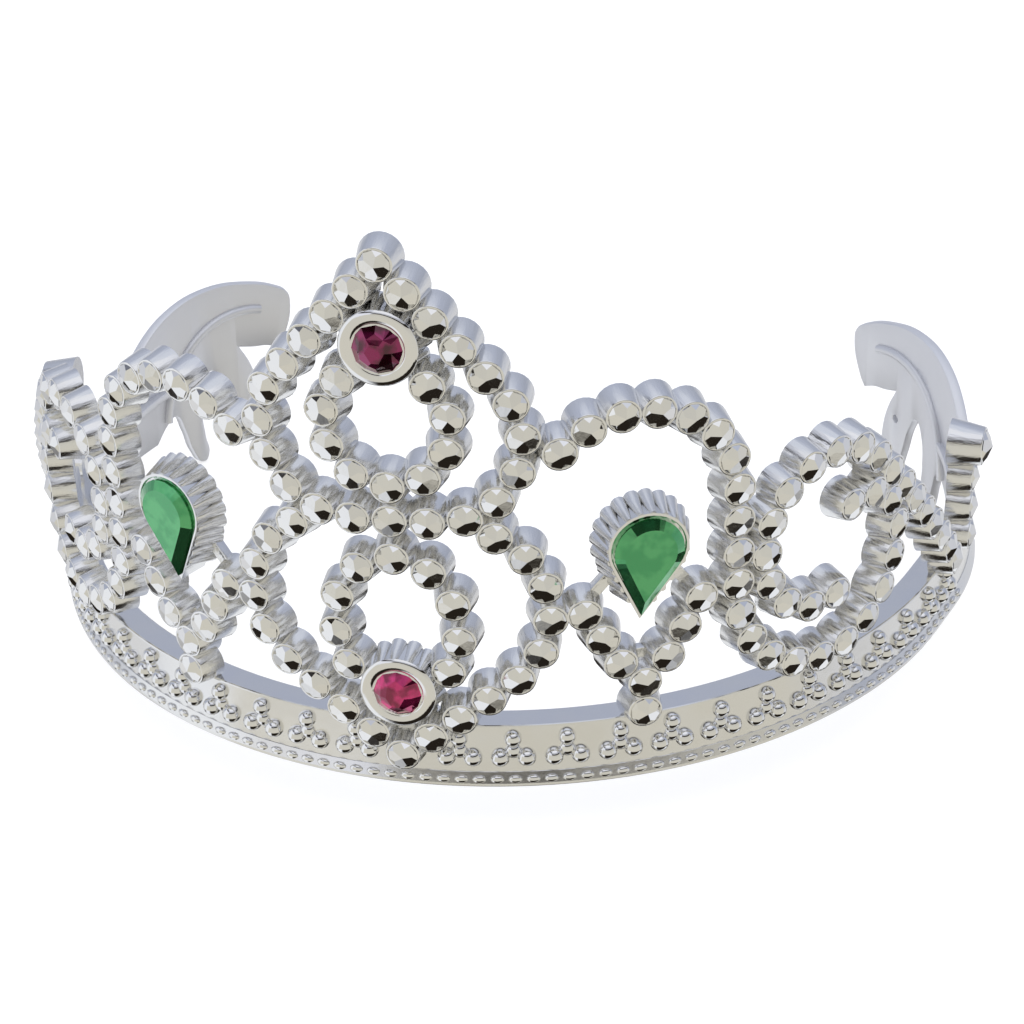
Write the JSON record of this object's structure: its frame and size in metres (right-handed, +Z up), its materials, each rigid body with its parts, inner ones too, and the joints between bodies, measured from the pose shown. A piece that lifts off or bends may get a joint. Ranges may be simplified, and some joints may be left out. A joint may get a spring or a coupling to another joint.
{
  "type": "toy tiara",
  "caption": "Child's dress-up tiara: a horseshoe rail with bead-string scrollwork, round and drop-shaped stones, and a hair comb at each end.",
  "frame": {"origin": "on the foot of the rail, at the middle of its wall, at the front centre", "axes": "+X to the wearer's left, which is the right of the front view; +Y from the front towards the open back; +Z up"},
  "size_m": [0.1178, 0.0956, 0.0707],
  "materials": {
    "chrome": "vacuum-plated bright chrome on moulded plastic",
    "magenta_lacquer": "clear magenta lacquer over chrome",
    "pink_lacquer": "clear pink lacquer over chrome",
    "green_lacquer": "clear green lacquer over chrome"
  },
  "bodies": {
    "root": {"base_band": "chrome", "band_flange": "chrome", "flange_pips": "chrome", "trefoil_studs": "chrome", "left_comb": "chrome", "right_comb": "chrome", "lower_ring": "chrome", "lower_inner_ring": "chrome", "peak_arch": "chrome", "upper_inner_ring": "chrome", "left_side_arch": "chrome", "right_side_arch": "chrome", "left_scroll": "chrome", "right_scroll": "chrome", "left_gem_stem": "chrome", "right_gem_stem": "chrome", "left_end_post": "chrome", "right_end_post": "chrome", "link_bars": "chrome", "upper_round_setting": "chrome", "lower_round_setting": "chrome", "left_teardrop_setting": "chrome", "right_teardrop_setting": "chrome", "upper_gem": "magenta_lacquer", "lower_gem": "pink_lacquer", "left_teardrop_gem": "green_lacquer", "right_teardrop_gem": "green_lacquer"}
  },
  "joints": []
}
